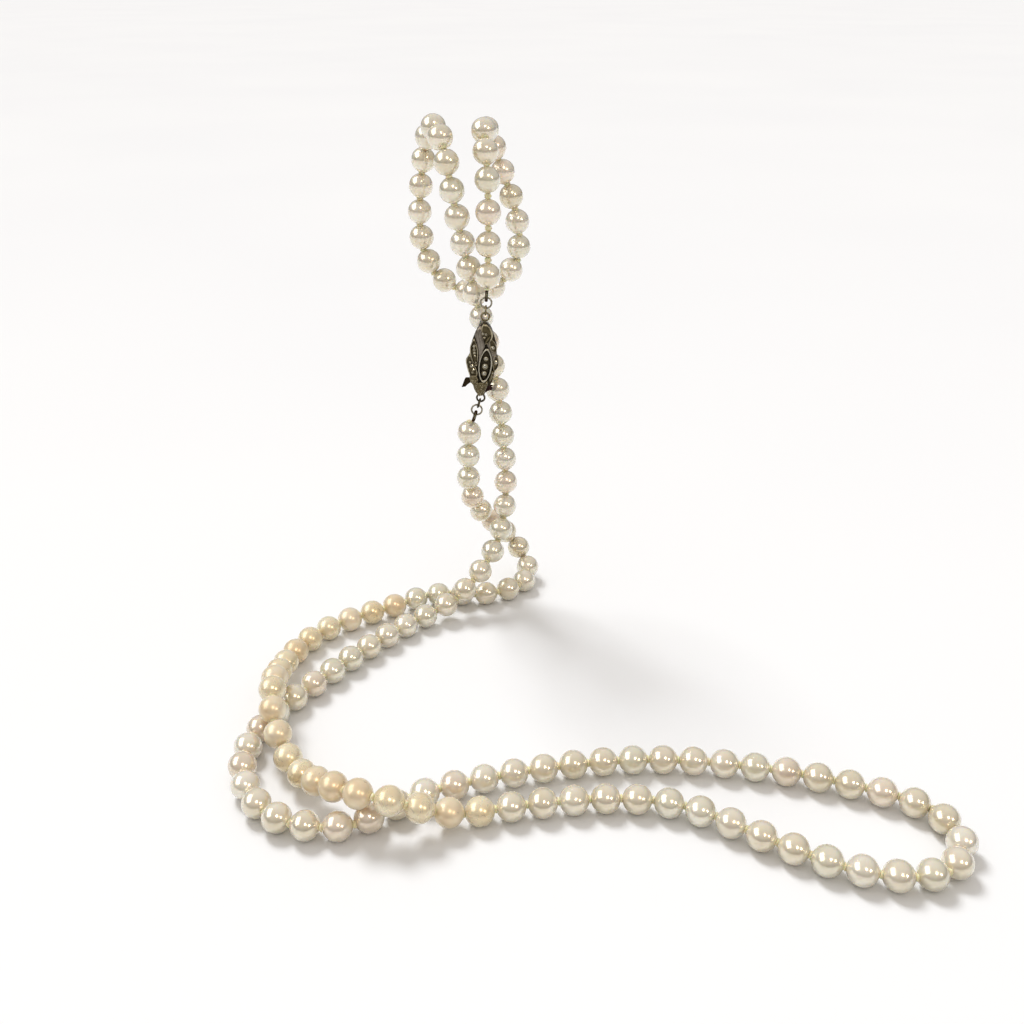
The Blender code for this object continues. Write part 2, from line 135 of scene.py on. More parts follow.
MAIN_ROUTE = (
    # The fall below the clasp
    (8.0, -14.2, -95.0), (10.2, -11.2, -104.5), (14.2, -6.6, -111.6), (19.4, -2.8, -118.6),
    (23.6, -2.8, -124.8), (26.2, -8.0, -128.9),
    # Round on the floor, over itself twice, and out
    *on_floor((24.4, -15.2), (17.5, -21.0), (8.0, -23.0), (-2.0, -22.6), (-14.0, -29.6),
              (-30.0, -40.0), (-38.5, -52.0)),
    (-41.0, -67.0, -126.5), (-39.8, -82.0, -121.5), (-37.3, -93.5, -124.2),
    (-31.5, -104.0, -128.6), (-25.6, -111.2, -126.3), (-18.8, -118.6, -122.8),
    (-11.2, -122.6, -121.7), (-4.0, -123.8, -122.8), (2.6, -122.2, -125.8),
    *on_floor((9.6, -120.0), (29.5, -116.2), (48.0, -115.0), (62.0, -118.2), (77.0, -127.7),
              (92.0, -136.2)),
    # The end loop
    *on_floor((105.5, -139.0), (115.8, -135.8), (119.8, -127.0), (115.5, -118.0)),
    # Back underneath to the left fall
    *on_floor((103.5, -111.3), (83.0, -104.6), (58.0, -101.0), (36.0, -102.8), (15.0, -107.8),
              (-2.5, -114.5), (-10.5, -121.2), (-20.0, -124.2), (-33.0, -120.8),
              (-41.5, -110.0), (-44.0, -98.0), (-40.2, -83.5), (-31.5, -69.2), (-17.5, -49.5),
              (-4.5, -35.4)),
    (4.6, -30.2, -126.2), (10.8, -25.2, -120.6), (16.0, -18.6, -114.8), (18.9, -11.8, -104.0),
    (18.6, -8.8, -88.0), (16.4, -8.2, -66.0), (12.0, -7.8, -46.0), (7.5, -8.8, -26.0),
    (4.4, -10.0, -9.0),
    # Over the edge, and the hanging loop behind it
    (2.4, -7.1, 0.6), (0.0, 0.0, PEARL_RADIUS), (-2.4, 7.1, 0.6),
    (-4.4, 10.0, -9.0), (-5.6, 10.2, -22.0), (-4.4, 10.3, -33.0), (0.5, 10.3, -41.0),
    (9.0, 10.3, -44.5),
)
UPPER_ROUTE = (
    (14.6, -12.4, -22.0), (14.4, -10.2, -8.0),
    (13.8, -7.1, 0.6), (13.4, 0.0, PEARL_RADIUS), (14.6, 7.1, 0.6),
    (18.0, 10.0, -9.0), (22.0, 10.2, -21.0), (22.8, 10.3, -32.0), (19.2, 10.3, -40.5),
    (10.0, 10.3, -44.5),
)
ROUTE_STEPS = 24
PITCH_HALVINGS = 30
# Each strand: name, body, chain, route, gaps, single pearls at its clasp end, satin pearls
STRANDS = (
    ("main", STRAND, LOWER_CHAIN, MAIN_ROUTE, MAIN_GAPS, 2, SATIN_PEARLS),
    ("upper", HOUSING, UPPER_CHAIN, UPPER_ROUTE, UPPER_GAPS, 3, ()),
)

# Camera: where it stands, how far it looks down, and its lens on a 36 mm sensor
CAMERA_PLACE = (21.0, -311.0, 41.75)
CAMERA_DIP = radians(26.4)
CAMERA_LENS = 38.43


# ---- camera

def link_new(name, data):
    obj = bpy.data.objects.new(name, data)
    bpy.context.scene.collection.objects.link(obj)
    return obj


def add_camera():
    data = bpy.data.cameras.new("camera")
    data.lens = CAMERA_LENS
    data.sensor_width = 36.0
    data.clip_start = 0.01
    data.clip_end = 50.0
    camera = link_new("camera", data)
    camera.location = Vector(CAMERA_PLACE) * MM
    camera.rotation_euler = (pi / 2 - CAMERA_DIP, 0.0, 0.0)
    bpy.context.scene.camera = camera


# ---- meshes

def to_metres(bm, matrix):
    """Puts a closed bmesh in its place, turns its faces outwards and scales it to metres."""
    if matrix is not None:
        bmesh.ops.transform(bm, matrix=matrix, verts=bm.verts)
    bmesh.ops.recalc_face_normals(bm, faces=bm.faces)
    bmesh.ops.scale(bm, vec=(MM, MM, MM), verts=bm.verts)


def linked_object(name, bm):
    """Turns a bmesh into an object of the scene."""
    mesh = bpy.data.meshes.new(name)
    bm.to_mesh(mesh)
    bm.free()
    return link_new(name, mesh)


def shade(obj, crease):
    """Smooth shading, broken at edges that bend by more than the crease angle in degrees."""
    obj.data.shade_smooth()
    if crease < SMOOTH:
        obj.data.set_sharp_from_angle(angle=radians(crease))


def add_piece(name, bm, material, body, slot, matrix=None, wear=None, nodes=(), crease=SMOOTH):
    """Turns a bmesh in millimetres into a piece that rides on a body and stands for its nodes.
    wear, from 0 to 1, says how far its metal is rubbed bright, where the mesh doesn't say."""
    if wear is not None:
        layer = bm.verts.layers.float.new("wear")
        for vertex in bm.verts:
            vertex[layer] = wear
    to_metres(bm, matrix)
    obj = linked_object(name, bm)
    obj.data.materials.append(material)
    shade(obj, crease)
    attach(obj, body)
    if nodes:
        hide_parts(*nodes)
    return obj


def ring_at(bm, outline, y):
    """A ring of vertices along an outline of (x, z) points."""
    return [bm.verts.new((x, y, z)) for x, z in outline]


def turns(count):
    """The angles that divide a circle."""
    return [2 * pi * step / count for step in range(count)]


def wire_section(bm, middle, across, other, radius, sides):
    """A ring of vertices round a wire, on its two cross axes."""
    ring = []
    for angle in turns(sides):
        offset = across * cos(angle) + other * sin(angle)
        ring.append(bm.verts.new(middle + radius * offset))
    return ring


def bridge(bm, rings):
    """Walls between each ring of vertices and the next."""
    for first, second in zip(rings, rings[1:]):
        sides = len(first)
        for side in range(sides):
            after = (side + 1) % sides
            bm.faces.new((first[side], first[after], second[after], second[side]))


def bridge_round(bm, rings):
    """Walls from ring to ring, and from the last back to the first."""
    bridge(bm, [*rings, rings[0]])


def bridge_capped(bm, rings):
    """Walls from ring to ring, and a face across each end."""
    bridge(bm, rings)
    bm.faces.new(rings[0])
    bm.faces.new(rings[-1])


class RingFrames:
    """Rings of vertices along a path, each turned as little as possible from the one before."""

    def __init__(self, bm, sides):
        self.bm = bm
        self.sides = sides
        self.across = Vector((0.31, 0.17, 0.93))

    def ring(self, centre, normal, radius, lobes=0, depth=0.0, turn=0.0):
        """A ring whose radius swells into lobes, as the strands of a twisted thread do."""
        across = self.across - self.across.dot(normal) * normal
        self.across = across.normalized()
        other = normal.cross(self.across)
        vertices = []
        for angle in turns(self.sides):
            swell = 1.0 + depth * cos(lobes * angle + turn)
            offset = self.across * cos(angle) + other * sin(angle)
            vertices.append(self.bm.verts.new(centre + radius * swell * offset))
        return vertices


# ---- the strand's route

def catmull_rom(points, steps):
    """A smooth curve through the points, as a list of points."""
    knots = [Vector((*p, 0.0)[:3]) for p in points]
    knots = [2 * knots[0] - knots[1], *knots, 2 * knots[-1] - knots[-2]]
    curve = []
    for before, start, end, after in zip(knots, knots[1:], knots[2:], knots[3:]):
        for step in range(steps):
            t = step / steps
            curve.append(0.5 * (
                2 * start + t * (end - before)
                + t * t * (2 * before - 5 * start + 4 * end - after)
                + t ** 3 * (3 * start - before - 3 * end + after)
            ))
    curve.append(knots[-2])
    return curve


def pearl_centres(points, pitches):
    """Centres a pitch apart along the route, the first at its first point."""
    curve = catmull_rom(points, ROUTE_STEPS)
    for point in curve[:-1]:
        point.z = max(point.z, REST_Z)
    centres = [curve[0]]
    for start, end in zip(curve, curve[1:]):
        if len(centres) > len(pitches):
            break
        pitch = pitches[len(centres) - 1]
        if (end - centres[-1]).length >= pitch:
            low, high = 0.0, 1.0
            for _ in range(PITCH_HALVINGS):
                middle = (low + high) / 2
                if (start.lerp(end, middle) - centres[-1]).length < pitch:
                    low = middle
                else:
                    high = middle
            centres.append(start.lerp(end, high))
    return centres


def bore_points(centres):
    """Where the thread bends: the middle of each gap between pearls, and each end's hole."""
    inner = zip(centres, centres[1:], centres[2:])
    axes = [(after - before).normalized() for before, _, after in inner]
    axes = [(centres[1] - centres[0]).normalized(), *axes, (centres[-1] - centres[-2]).normalized()]
    points = [centres[0] - PEARL_RADIUS * axes[0]]
    for here, there, axis, next_axis in zip(centres, centres[1:], axes, axes[1:]):
        points.append((here + there + PEARL_RADIUS * (axis - next_axis)) / 2)
    points.append(centres[-1] + PEARL_RADIUS * axes[-1])
    return points


def strand(chain, route, gaps):
    """The pearls' centres from a chain's end along a route, each seated on the straight thread
    between the bends on its two sides, and those bends."""
    first = chain @ Vector((0.0, 0.0, FIRST_PEARL_DISTANCE))
    centres = pearl_centres((first, *route), gaps)
    bends = bore_points(centres)
    seated = []
    for centre, start, end in zip(centres, bends, bends[1:]):
        axis = (end - start).normalized()
        seated.append(start + (centre - start).dot(axis) * axis)
    return seated, bends


# ---- silk

def thread_rings(bends, gaps):
    """(point, direction, radius, turn) along the thread: straight in a pearl, a knot at a bend."""
    directions = [(b - a).normalized() for a, b in zip(bends, bends[1:])]
    rings = []
    start = bends[0] - SILK_LEAD_IN * directions[0]
    rings.append((start, directions[0], THREAD_RADIUS, 0.0))
    for index, bend in enumerate(bends):
        before = directions[max(index - 1, 0)]
        after = directions[min(index, len(directions) - 1)]
        middle = (before + after).normalized()
        loose = 0 < index <= len(gaps) and gaps[index - 1] > PEARL_PITCH
        half = LOOSE_KNOT_HALF_LENGTH if loose else KNOT_HALF_LENGTH
        for share in (-1.0, -0.85, -0.6, -0.3, 0.0, 0.3, 0.6, 0.85, 1.0):
            direction = before if share < -0.5 else after if share > 0.5 else middle
            swell = sqrt(max(0.0, 1.0 - share * share))
            size = THREAD_RADIUS + (KNOT_RADIUS - THREAD_RADIUS) * swell
            side = before if share < 0 else after
            along = share * half
            rings.append((bend + along * side, direction, size, PLY_TWIST * along))
        if index < len(bends) - 1:
            centre = (bend + bends[index + 1]) / 2
            rings.append((centre, after, THREAD_RADIUS, 0.0))
    return rings


def add_silk(prefix, bends, gaps, material, body):
    """The knotted thread, a twisted tube along its centre line."""
    bm = bmesh.new()
    frames = RingFrames(bm, THREAD_SIDES)
    stations = thread_rings(bends, gaps)
    rings = []
    for point, direction, radius, turn in stations:
        depth = KNOT_GROOVE if radius > 1.3 * THREAD_RADIUS else THREAD_GROOVE
        rings.append(frames.ring(point, direction, radius, THREAD_LOBES, depth, turn))
    bridge_capped(bm, rings)
    piece = add_piece(f"{prefix}_silk", bm, material, body, "silk_thread",
                      nodes=(f"{prefix}_silk_thread",))


# ---- pearls

def pearl_profile():
    """(height, radius) from hole to hole as shares of the pearl's radius, rounded at each hole."""
    hole = BORE_RADIUS / PEARL_RADIUS
    profile = [(-HOLE_HEIGHT, hole), (-0.984, hole + 0.006), (-0.9865, hole + 0.024)]
    start = asin(hole + 0.05)
    for step in range(PROFILE_STEPS + 1):
        angle = start + (pi - 2 * start) * step / PROFILE_STEPS
        profile.append((-cos(angle), sin(angle)))
    profile += [(-height, radius) for height, radius in reversed(profile[:3])]
    return profile


def add_pearl(name, centre, axis, seed, material, body, node):
    """One drilled pearl, a little off round and with the faint ripples that nacre grows in."""
    rng = random.Random(seed)
    size = PEARL_RADIUS * rng.uniform(*PEARL_SIZES)
    squash = rng.uniform(LEAST_ROUND, 1.0)
    stretch_way = rng.uniform(0.0, pi)
    shift = Vector([rng.uniform(0, 40) for _ in range(3)])
    bm = bmesh.new()
    frames = RingFrames(bm, PEARL_SIDES)
    outer = []
    for height, radius in pearl_profile():
        ring_centre = centre + height * size * axis
        ring = frames.ring(ring_centre, axis, radius * size, 2, (1 - squash) / 2, stretch_way)
        for vertex in ring:
            place = (vertex.co - centre) / size
            ripple = sum(noise.noise(place * scale + shift) * depth for scale, depth in RIPPLES)
            out = radius * min(1.0, 4 * (1.0 - abs(height)))
            vertex.co = centre + (vertex.co - centre) * (1.0 + (ripple - 0.004) * out)
        outer.append(ring)
    bore = [frames.ring(centre + height * size * axis, axis, BORE_RADIUS * 0.97)
            for height in (-HOLE_HEIGHT, HOLE_HEIGHT)]
    bridge_round(bm, [*outer, *reversed(bore)])
    add_piece(name, bm, material, body, "pearl_nacre", nodes=(node,))


def node_of(prefix, index, end_pearls):
    """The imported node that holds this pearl."""
    if index < end_pearls:
        return f"{prefix}_end_pearl_{index + 1}"
    return f"{prefix}_pearl_run_{(index - end_pearls) // PEARLS_PER_RUN + 1:02d}"


def add_strand_pearls(prefix, centres, bends, end_pearls, materials, body, satin):
    glossy, soft = materials
    for index, centre in enumerate(centres):
        axis = (bends[index + 1] - bends[index]).normalized()
        seed = index + (1000 if prefix == "upper" else 0)
        group = soft if index in satin else glossy
        material = group[random.Random(seed * 7 + 3).randrange(len(group))]
        add_pearl(f"{prefix}_pearl_{index + 1:03d}", centre, axis, seed, material, body,
                  node_of(prefix, index, end_pearls))


# ---- materials

def set_inputs(node, values):
    for name, value in values.items():
        node.inputs[name].default_value = value


def feed(node, name, field):
    """Links a field to a node's input."""
    node.id_data.links.new(field, node.inputs[name])


def start_material(name, colour, roughness, metallic):
    material = bpy.data.materials.new(name)
    material.use_nodes = True
    shader = material.node_tree.nodes["Principled BSDF"]
    set_inputs(shader, {
        "Base Color": (*colour, 1.0), "Roughness": roughness, "Metallic": metallic,
    })
    return material, material.node_tree, shader


def object_place(tree):
    """The surface point in the piece's own metres."""
    return tree.nodes.new("ShaderNodeTexCoord").outputs["Object"]


def noise_field(tree, place, scale, detail=2.0, roughness=0.5, distortion=0.0):
    texture = tree.nodes.new("ShaderNodeTexNoise")
    set_inputs(texture, {
        "Scale": scale, "Detail": detail, "Roughness": roughness, "Distortion": distortion,
    })
    feed(texture, "Vector", place)
    return texture.outputs["Fac"]


def colour_ramp(tree, factor, stops):
    ramp = tree.nodes.new("ShaderNodeValToRGB")
    elements = ramp.color_ramp.elements
    first, *between, last = stops
    for element, (position, colour) in zip(elements, (first, last)):
        element.position, element.color = position, (*colour, 1.0)
    for position, colour in between:
        elements.new(position).color = (*colour, 1.0)
    feed(ramp, "Fac", factor)
    return ramp.outputs["Color"]


def spread(tree, factor, low, high):
    """Maps a 0.3 to 0.7 field onto a range."""
    node = tree.nodes.new("ShaderNodeMapRange")
    set_inputs(node, {"From Min": 0.3, "From Max": 0.7, "To Min": low, "To Max": high})
    feed(node, "Value", factor)
    return node.outputs["Result"]


def add_bump(tree, shader, height, distance, strength):
    bump = tree.nodes.new("ShaderNodeBump")
    set_inputs(bump, {"Distance": distance, "Strength": strength})
    feed(bump, "Height", height)
    feed(shader, "Normal", bump.outputs["Normal"])


def nacre(name, tones, roughness, coat_roughness, film, lustre):
    """Layered nacre: a tinted body, a mirror-like lustre, a clear coat and a thin-film overtone."""
    material, tree, shader = start_material(name, tones[1], roughness, lustre)
    place = object_place(tree)
    drift = noise_field(tree, place, 95.0, 3.0, 0.45, 0.6)
    feed(shader, "Base Color", colour_ramp(tree, drift, zip((0.34, 0.5, 0.66), tones)))
    growth = noise_field(tree, place, 420.0, 2.0, 0.5, 1.5)
    feed(shader, "Roughness", spread(tree, growth, roughness * 0.8, roughness * 1.25))
    pits = noise_field(tree, place, 1500.0, 3.0, 0.55)
    add_bump(tree, shader, pits, 0.00002, 0.03)
    set_inputs(shader, {
        "IOR": 1.75, "Subsurface Weight": 0.4, "Subsurface Radius": (1.0, 0.70, 0.35),
        "Subsurface Scale": 0.0018, "Coat Weight": 0.8, "Coat Roughness": coat_roughness,
        "Coat IOR": 1.55, "Thin Film Thickness": film, "Thin Film IOR": 1.45,
    })
    return material


def make_nacres():
    cream = ((0.75, 0.68, 0.54), (0.81, 0.74, 0.61), (0.85, 0.79, 0.68))
    rose = ((0.77, 0.67, 0.56), (0.82, 0.73, 0.62), (0.86, 0.79, 0.69))
    green = ((0.74, 0.68, 0.54), (0.79, 0.74, 0.61), (0.84, 0.79, 0.68))
    ivory = ((0.78, 0.71, 0.59), (0.83, 0.77, 0.66), (0.87, 0.82, 0.73))
    glossy = [
        nacre("nacre_cream", cream, 0.18, 0.03, 222.0, 0.45),
        nacre("nacre_ivory", ivory, 0.19, 0.035, 214.0, 0.43),
        nacre("nacre_cream_bright", cream, 0.16, 0.025, 227.0, 0.47),
        nacre("nacre_rose", rose, 0.19, 0.035, 236.0, 0.43),
        nacre("nacre_green", green, 0.17, 0.03, 206.0, 0.45),
    ]
    peach = ((0.76, 0.61, 0.42), (0.81, 0.69, 0.51), (0.85, 0.76, 0.61))
    honey = ((0.77, 0.64, 0.43), (0.82, 0.72, 0.53), (0.86, 0.79, 0.63))
    satin = [
        nacre("nacre_satin_peach", peach, 0.33, 0.21, 232.0, 0.28),
        nacre("nacre_satin_honey", honey, 0.29, 0.15, 225.0, 0.30),
    ]
    return glossy, satin


def make_silk():
    """Twisted silk, pale yellow, mottled darker and lighter by a fine fibre noise."""
    material, tree, shader = start_material("silk", (0.76, 0.66, 0.32), 0.75, 0.0)
    fibre = noise_field(tree, object_place(tree), 2600.0, 4.0, 0.7, 2.0)
    tones = ((0.3, (0.78, 0.68, 0.34)), (0.5, (0.92, 0.85, 0.54)), (0.72, (0.96, 0.92, 0.69)))
    feed(shader, "Base Color", colour_ramp(tree, fibre, tones))
    add_bump(tree, shader, fibre, 0.0001, 0.5)
    set_inputs(shader, {
        "Sheen Weight": 0.35, "Sheen Roughness": 0.4, "Subsurface Weight": 0.2,
        "Subsurface Scale": 0.0005,
    })
    return material


def times_plus(tree, value, factor, addend):
    """value x factor + addend, where addend is another field."""
    node = tree.nodes.new("ShaderNodeMath")
    node.operation = "MULTIPLY_ADD"
    node.inputs[1].default_value = factor
    feed(node, 0, value)
    feed(node, 2, addend)
    return node.outputs["Value"]


# Metals: dark, middle and bright colour, roughness, depth of a sheltering recess in metres, grain
METALS = {
    "cast_silver": ((0.02, 0.016, 0.008), (0.17, 0.14, 0.078), (0.50, 0.45, 0.33),
                    0.34, 0.0007, 0.25),
    "polished_silver": ((0.025, 0.02, 0.012), (0.15, 0.13, 0.09), (0.44, 0.41, 0.33),
                        0.26, 0.0004, 0.08),
    "oxidised_recess": ((0.010, 0.008, 0.005), (0.06, 0.05, 0.03), (0.18, 0.15, 0.10),
                        0.42, 0.0006, 0.25),
    "rubbed_silver": ((0.05, 0.041, 0.031), (0.19, 0.165, 0.135), (0.42, 0.385, 0.335),
                      0.28, 0.0006, 0.1),
    "tarnished_tongue": ((0.008, 0.003, 0.003), (0.035, 0.017, 0.014), (0.12, 0.07, 0.055),
                         0.4, 0.0006, 0.25),
    "tarnished_tab": ((0.008, 0.005, 0.003), (0.04, 0.028, 0.014), (0.13, 0.10, 0.06),
                      0.4, 0.0006, 0.25),
    "tarnished_bullion": ((0.008, 0.004, 0.002), (0.06, 0.035, 0.02), (0.18, 0.12, 0.075),
                          0.4, 0.0002, 0.25),
}


def worn_metal(name, dark, middle, bright, roughness, recess, bump_strength):
    """Cast metal: dark oxide where the surface is low or sheltered, rubbed bright where the
    wear attribute of its mesh says that it stands proud."""
    material, tree, shader = start_material(name, middle, roughness, 1.0)
    place = object_place(tree)
    shelter = tree.nodes.new("ShaderNodeAmbientOcclusion")
    shelter.samples = 8
    shelter.inputs["Distance"].default_value = recess
    wear = tree.nodes.new("ShaderNodeAttribute")
    wear.attribute_name = "wear"
    mottle = noise_field(tree, place, 900.0, 4.0, 0.6, 0.8)
    mixed = times_plus(tree, shelter.outputs["AO"], 0.32, spread(tree, mottle, -0.06, 0.10))
    mixed = times_plus(tree, wear.outputs["Fac"], 0.62, mixed)
    tones = zip((0.16, 0.52, 0.93), (dark, middle, bright))
    feed(shader, "Base Color", colour_ramp(tree, mixed, tones))
    grain = noise_field(tree, place, 2300.0, 5.0, 0.65)
    feed(shader, "Roughness", spread(tree, grain, roughness * 0.7, roughness * 1.5))
    add_bump(tree, shader, grain, 0.00005, bump_strength)
    return material


def make_stone():
    """Marcasite: faceted pyrite, a dark brassy grey mirror."""
    material, tree, shader = start_material("marcasite_facets", (0.30, 0.28, 0.23), 0.10, 1.0)
    cloud = noise_field(tree, object_place(tree), 1400.0, 3.0, 0.6)
    tones = ((0.3, (0.20, 0.19, 0.15)), (0.55, (0.40, 0.38, 0.32)), (0.75, (0.58, 0.55, 0.47)))
    feed(shader, "Base Color", colour_ramp(tree, cloud, tones))
    feed(shader, "Roughness", spread(tree, cloud, 0.06, 0.2))
    return material


# ---- clasp front

def front_piece(name, bm, material, wear=None, nodes=(), crease=SMOOTH, slot="oxidised_silver"):
    """A piece of the clasp's housing end, drawn in the clasp's frame."""
    return add_piece(name, bm, material, HOUSING, slot, CLASP, wear, nodes, crease)


PLATE_BACK_Y = -1.0
LEAST_WIDTH = 0.06


def dome(x, z):
    """The front plate's own surface, before anything is set on it."""
    spread_out = (x / 4.7) ** 2 + (z / 10.8) ** 2
    return -1.45 - 0.7 * max(0.0, 1.0 - spread_out) ** 0.8


def strip_between(left, right, steps, across, height):
    """A closed relief between two edge curves. height(u, v) is how far it stands off the dome
    and how worn it is, u from -1 at the left edge to 1 at the right, v from 0 at the top to 1."""
    bm = bmesh.new()
    layer = bm.verts.layers.float.new("wear")
    left_curve = catmull_rom(left, steps // (len(left) - 1))
    right_curve = catmull_rom(right, steps // (len(right) - 1))
    last_left, last_right = len(left_curve) - 1, len(right_curve) - 1
    last = min(last_left, last_right)
    rings = []
    for row in range(last + 1):
        v = row / last
        a = left_curve[row * last_left // last]
        b = right_curve[row * last_right // last]
        if (a - b).length < LEAST_WIDTH:
            b = a + Vector((LEAST_WIDTH, 0.0, 0.0))
        ring = []
        for column in range(across + 1):
            u = -1.0 + 2.0 * column / across
            point = a.lerp(b, (u + 1) / 2)
            rise, wear = height(u, v)
            vertex = bm.verts.new((point.x, dome(point.x, point.y) - rise, point.y))
            vertex[layer] = wear
            ring.append(vertex)
        for column in range(across, -1, -1):
            point = a.lerp(b, column / across)
            back = max(dome(point.x, point.y) + 0.3, ring[column].co.y + 0.05)
            ring.append(bm.verts.new((point.x, min(back, PLATE_BACK_Y), point.y)))
        rings.append(ring)
    bridge_capped(bm, rings)
    return bm


def ends_down(v):
    """1 along a shape's middle, falling to 0 at its two ends."""
    return min(1.0, sin(pi * min(max(v, 0.0), 1.0)) * 2.6)


def petal_height(rim, floor, lift):
    """A petal with a raised polished rim round a sunk floor."""
    def height(u, v):
        edge = abs(u)
        share = exp(-((edge - 0.8) / 0.14) ** 2)
        if edge > 0.8:
            share = sqrt(max(0.0, 1.0 - ((edge - 0.8) / 0.2) ** 2))
        near_end = min(v, 1.0 - v)
        if near_end < 0.10:
            share = max(share, sqrt(max(0.0, 1 - ((0.1 - near_end) / 0.1) ** 2)))
        profile = max(floor * (edge < 0.8), floor + (rim - floor) * share - 0.3 * (edge > 0.97))
        profile *= sqrt(min(1.0, max(0.0, near_end / 0.08)))
        return profile + lift, max(0.0, share - 0.15)
    return height


def ribbon_height(crown, grooves, lift):
    """A smooth crowned band, with shallow grooves that fade out along it."""
    def height(u, v):
        swell = sqrt(max(0.0, 1.0 - abs(u) ** 2.4))
        groove = (1.0 - v) * (0.5 + 0.5 * cos(grooves * pi * u)) * (1 - u * u)
        profile = (crown * swell - 0.16 * groove) * (0.1 + 0.9 * ends_down(v))
        return profile + lift, 0.12 + 0.3 * swell ** 3 - 0.3 * groove
    return height


def mound_height(crown, lift):
    def height(u, v):
        swell = sqrt(max(0.0, 1.0 - u * u)) * (0.15 + 0.85 * ends_down(v))
        return crown * swell + lift, 0.12 * swell ** 2
    return height


# Each petal: name, left edge, right edge, rim, floor, lift
PETALS = (
    ("upper_left", ((-2.8, 6.4), (-3.7, 4.2), (-3.75, 2.3), (-3.1, 0.2), (-1.6, -1.7)),
     ((-2.7, 6.4), (-1.9, 4.8), (-1.4, 2.9), (-1.35, 0.8), (-1.6, -1.7)), 0.62, 0.12, 0.12),
    ("lower_left", ((-3.8, 1.8), (-4.75, -0.1), (-4.4, -2.1), (-3.8, -3.9), (-3.0, -5.4)),
     ((-3.7, 1.8), (-2.7, -0.6), (-1.7, -2.1), (-1.2, -3.7), (-1.9, -5.4)), 0.5, 0.05, 0.0),
    ("upper_right", ((1.7, 6.7), (1.5, 5.4), (1.75, 4.0), (2.1, 3.1), (2.7, 2.2)),
     ((1.9, 6.7), (3.2, 5.4), (3.75, 4.1), (3.7, 3.1), (3.0, 2.2)), 0.5, 0.14, 0.05),
    ("lower_right", ((3.3, 1.9), (2.7, 0.9), (2.6, -0.4), (2.9, -1.6), (3.3, -2.7)),
     ((3.4, 1.9), (4.3, 1.0), (4.65, -0.3), (4.35, -1.6), (3.5, -2.7)), 0.55, 0.12, 0.1),
)
# The other reliefs: left edge, right edge, height, metal
RELIEFS = {
    "ribbon": (((-1.4, 9.9), (-2.6, 7.9), (-2.1, 4.9), (-1.4, 1.7), (-1.3, -1.4)),
               ((-0.9, 10.0), (-0.5, 7.8), (0.45, 4.7), (-0.1, 2.0), (-1.0, -1.4)),
               ribbon_height(0.62, 3, 0.1), "rubbed_silver"),
    "right_band": (((0.7, 5.6), (1.1, 4.0), (1.7, 2.6), (2.3, 1.0), (2.5, -0.5)),
                   ((1.3, 6.2), (2.4, 3.6), (3.6, 2.8), (3.7, 1.4), (2.9, -0.5)),
                   ribbon_height(0.42, 2, 0.0), "rubbed_silver"),
    "crown": (((-0.3, 10.6), (-1.1, 9.4), (-1.2, 7.4), (-0.6, 5.7), (0.3, 4.8)),
              ((0.3, 10.6), (1.9, 9.2), (2.5, 7.7), (2.0, 6.1), (0.4, 4.8)),
              petal_height(0.45, 0.22, 0.0), "cast_silver"),
    "scroll": (((1.75, 7.6), (0.75, 6.6), (0.1, 5.0)), ((1.85, 7.5), (1.35, 6.2), (0.2, 4.9)),
               mound_height(0.45, 0.25), "cast_silver"),
    "shell": (((-2.9, -4.3), (-3.5, -5.2), (-3.2, -6.4), (-2.3, -7.4)),
              ((-1.6, -4.0), (-0.9, -5.2), (-0.9, -6.4), (-1.6, -7.4)),
              mound_height(0.5, 0.1), "cast_silver"),
    "tip_leaf": (((-1.9, -6.4), (-2.3, -7.4), (-1.9, -8.8), (-1.1, -9.9), (-0.3, -10.5)),
                 ((1.9, -5.6), (1.75, -7.2), (1.3, -8.6), (0.9, -9.7), (0.3, -10.5)),
                 mound_height(0.75, 0.05), "cast_silver"),
    "right_foot": (((2.5, -2.4), (2.2, -3.8), (1.7, -5.6)), ((3.5, -2.6), (3.3, -4.4), (2.3, -6.2)),
                   mound_height(0.5, 0.0), "cast_silver"),
}
# Cast grain: name, the relief it lies on, spacing, radius, seed
GRAINS = (("shell", "shell", 0.46, 0.22, 5), ("tip", "tip_leaf", 0.48, 0.23, 9))
BARE_SHARE = 0.22

NAVETTE_CENTRE = (0.75, -1.1)
NAVETTE_HALF_LENGTH = 5.1
NAVETTE_HALF_WIDTH = 1.9
NAVETTE_LEAN = radians(3.0)
NAVETTE_STEPS = 32
COLLAR_STEPS = 28

# Stones in the navette: name, place along it, radius. Small ones in the leaves: x, z, radius
NAVETTE_STONES = (("top", 1.95, 0.62), ("middle", -0.3, 0.78), ("bottom", -2.4, 0.66))
SMALL_STONES = (
    (-0.35, 7.9, 0.34), (0.45, 7.8, 0.30), (0.1, 6.9, 0.26),
    (-2.6, 4.2, 0.40), (-2.55, 3.2, 0.36), (-2.45, 2.3, 0.32), (-2.3, 1.5, 0.26),
    (-1.95, -0.4, 0.22),
    (2.6, 4.1, 0.46),
    (-3.55, -0.5, 0.26), (-2.95, -1.55, 0.48), (-2.5, -2.6, 0.30), (-2.7, -3.4, 0.26),
    (2.95, -3.3, 0.22), (2.75, -4.3, 0.22),
)


